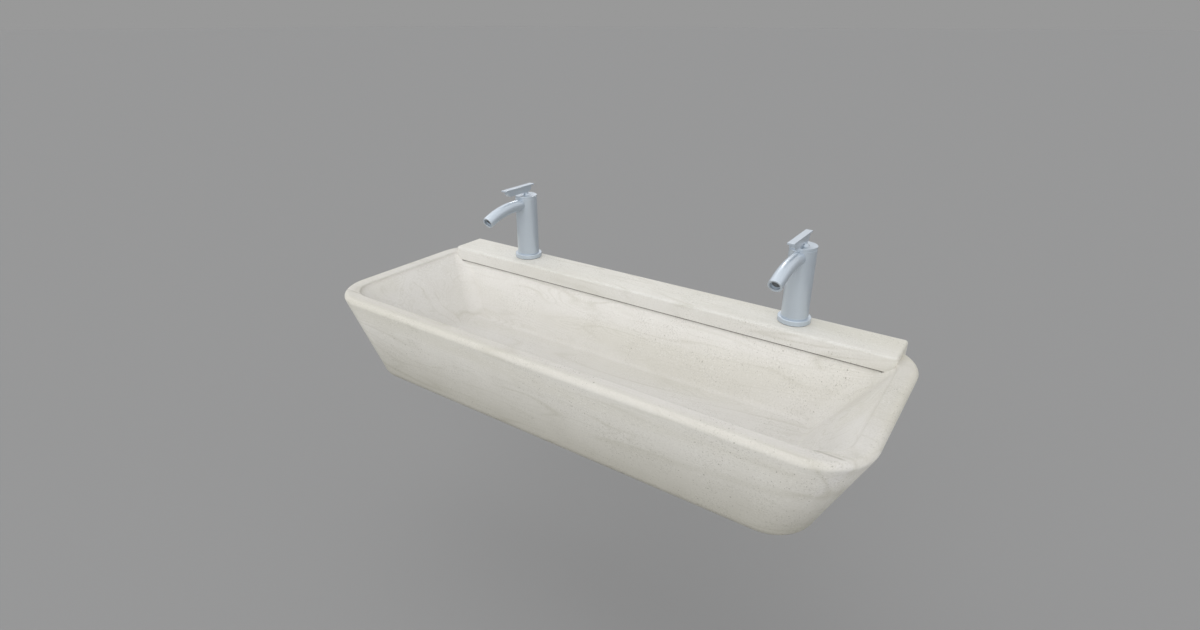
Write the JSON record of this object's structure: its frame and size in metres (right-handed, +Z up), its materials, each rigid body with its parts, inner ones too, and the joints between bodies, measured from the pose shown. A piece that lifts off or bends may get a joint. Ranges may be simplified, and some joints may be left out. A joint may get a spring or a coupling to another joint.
{
  "type": "trough sink",
  "caption": "Wall-hung tapered stone trough sink with a separate tap ledge along its back, lever mixer taps with bent spouts and a push plug.",
  "frame": {"origin": "centre of the four wall bolt holes in the plane of the wall", "axes": "+X along the trough to the right as seen from the front, +Y into the wall, +Z up"},
  "size_m": [1.2, 0.46, 0.429],
  "materials": {
    "stone": "honed cream limestone, satin, with fine dark pits and faint bands",
    "joint_filler": "grey bedding sealant",
    "bracket_steel": "powder-coated steel",
    "plain_steel": "stainless steel",
    "black_rubber": "matt black rubber",
    "brass": "turned brass",
    "white_nylon": "moulded nylon",
    "dark_nylon": "moulded dark nylon",
    "disc_ceramic": "lapped ceramic",
    "tap_metal": "plated metal, bluish grey, semi-bright"
  },
  "bodies": {
    "sink": {"basin": "stone", "ledge": "stone", "ledge_bed": "joint_filler", "left_bracket": "bracket_steel", "right_bracket": "bracket_steel", "bracket_pads": "black_rubber", "bracket_inserts": "brass", "bracket_bolts": "plain_steel", "bracket_washers": "plain_steel", "waste_body": "tap_metal", "waste_seal": "black_rubber", "waste_washer": "black_rubber", "waste_nut": "brass", "plug_sleeve": "white_nylon", "plug_spring": "plain_steel", "tap_base_seals": "black_rubber", "tap_studs": "plain_steel", "clamp_gaskets": "black_rubber", "clamp_plates": "plain_steel", "stud_nuts": "brass", "left_base_ring": "tap_metal", "left_tap_body": "tap_metal", "left_spout": "tap_metal", "left_aerator_housing": "tap_metal", "left_aerator_insert": "dark_nylon", "left_tap_cap": "tap_metal", "left_cartridge_base": "white_nylon", "left_cartridge_housing": "white_nylon", "left_cartridge_nut": "brass", "left_fixed_disc": "disc_ceramic", "right_base_ring": "tap_metal", "right_tap_body": "tap_metal", "right_spout": "tap_metal", "right_aerator_housing": "tap_metal", "right_aerator_insert": "dark_nylon", "right_tap_cap": "tap_metal", "right_cartridge_base": "white_nylon", "right_cartridge_housing": "white_nylon", "right_cartridge_nut": "brass", "right_fixed_disc": "disc_ceramic"},
    "left_turn": {"left_turning_carrier": "white_nylon", "left_pivot_pin": "plain_steel"},
    "left_lever_body": {"left_lever": "tap_metal", "left_lever_hub": "tap_metal", "left_spindle": "plain_steel", "left_lever_screw": "plain_steel"},
    "left_disc": {"left_moving_disc": "disc_ceramic"},
    "right_turn": {"right_turning_carrier": "white_nylon", "right_pivot_pin": "plain_steel"},
    "right_lever_body": {"right_lever": "tap_metal", "right_lever_hub": "tap_metal", "right_spindle": "plain_steel", "right_lever_screw": "plain_steel"},
    "right_disc": {"right_moving_disc": "disc_ceramic"},
    "plug": {"plug_cap": "tap_metal", "plug_seal": "black_rubber", "plug_plunger": "brass"}
  },
  "joints": [
    {"name": "left_lever_turn", "type": "hinge", "parent": "sink", "child": "left_turn", "pos_m": [-0.35, -0.035, 0.297], "axis": [0, 0, 1], "range_deg": [-45, 45]},
    {"name": "left_lever_lift", "type": "hinge", "parent": "left_turn", "child": "left_lever_body", "pos_m": [-0.35, -0.035, 0.297], "axis": [-1, 0, 0], "range_deg": [0, 20]},
    {"name": "left_disc_slide", "type": "slide", "parent": "left_turn", "child": "left_disc", "axis": [0, -1, 0], "range_m": [0, 0.005]},
    {"name": "right_lever_turn", "type": "hinge", "parent": "sink", "child": "right_turn", "pos_m": [0.35, -0.035, 0.297], "axis": [0, 0, 1], "range_deg": [-45, 45]},
    {"name": "right_lever_lift", "type": "hinge", "parent": "right_turn", "child": "right_lever_body", "pos_m": [0.35, -0.035, 0.297], "axis": [-1, 0, 0], "range_deg": [0, 20]},
    {"name": "right_disc_slide", "type": "slide", "parent": "right_turn", "child": "right_disc", "axis": [0, -1, 0], "range_m": [0, 0.005]},
    {"name": "plug_press", "type": "slide", "parent": "sink", "child": "plug", "axis": [0, 0, -1], "range_m": [0, 0.0068], "deforming": ["plug_spring"]}
  ],
  "couplings": [
    {"joint": "left_disc_slide", "follows": "left_lever_lift", "m_per_rad": 0.0143},
    {"joint": "right_disc_slide", "follows": "right_lever_lift", "m_per_rad": 0.0143}
  ]
}
